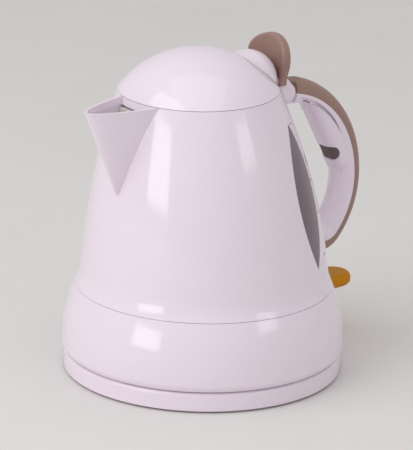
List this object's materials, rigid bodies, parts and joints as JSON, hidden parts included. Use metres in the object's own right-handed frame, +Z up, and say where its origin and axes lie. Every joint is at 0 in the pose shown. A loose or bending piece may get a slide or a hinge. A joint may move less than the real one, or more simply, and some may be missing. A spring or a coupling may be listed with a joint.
{
  "type": "cordless electric kettle",
  "caption": "Cordless electric kettle: leaning white jug with a V spout, domed flip lid with a thumb paddle, arched two-tone handle, rocker switch and round power base.",
  "frame": {"origin": "centre of the round power base, on the table", "axes": "+Z up, +X towards the handle, -X towards the spout, +Y away from the side with the water window"},
  "size_m": [0.2175, 0.172, 0.2021],
  "materials": {
    "white_plastic": "glossy",
    "taupe_plastic": "satin",
    "dark_rubber": "matte",
    "smoked_window": "glossy",
    "amber_plastic": "glossy",
    "natural_plastic": "satin",
    "black_plastic": "matte",
    "steel": "brushed",
    "sheath_metal": "satin",
    "brass": "satin"
  },
  "bodies": {
    "power_base": {"base_shell": "white_plastic", "base_plate": "white_plastic", "base_socket": "black_plastic", "socket_contacts": "brass", "base_feet": "dark_rubber", "base_screws": "steel", "cord_gland": "black_plastic"},
    "jug": {"jug_shell": "white_plastic", "level_window": "smoked_window", "filter_frame": "natural_plastic", "filter_mesh": "steel", "handle_frame": "white_plastic", "handle_skin": "taupe_plastic", "grip_core": "white_plastic", "grip_inlay": "dark_rubber", "skirt": "white_plastic", "element_plate": "steel", "element_seal": "dark_rubber", "heating_element": "sheath_metal", "control_unit": "black_plastic", "boil_dry_discs": "brass", "steam_disc": "brass", "steam_tube": "natural_plastic", "jug_connector": "black_plastic", "connector_contacts": "brass", "bottom_cover": "black_plastic", "cover_screws": "steel", "switch_pin": "steel"},
    "lid": {"lid_cap": "white_plastic", "lid_liner": "natural_plastic", "thumb_paddle": "taupe_plastic", "hinge_pin": "steel"},
    "switch": {"switch_lever": "amber_plastic"}
  },
  "joints": [
    {"name": "kettle_lift", "type": "slide", "parent": "power_base", "child": "jug", "axis": [0, 0, 1], "range_m": [0, 0.05]},
    {"name": "lid_hinge", "type": "hinge", "parent": "jug", "child": "lid", "pos_m": [0.057, 0, 0.1655], "axis": [0, 1, 0], "range_deg": [0, 75]},
    {"name": "switch_rock", "type": "hinge", "parent": "jug", "child": "switch", "pos_m": [0.0725, 0, 0.0344], "axis": [0, 1, 0], "range_deg": [0, 12]}
  ]
}
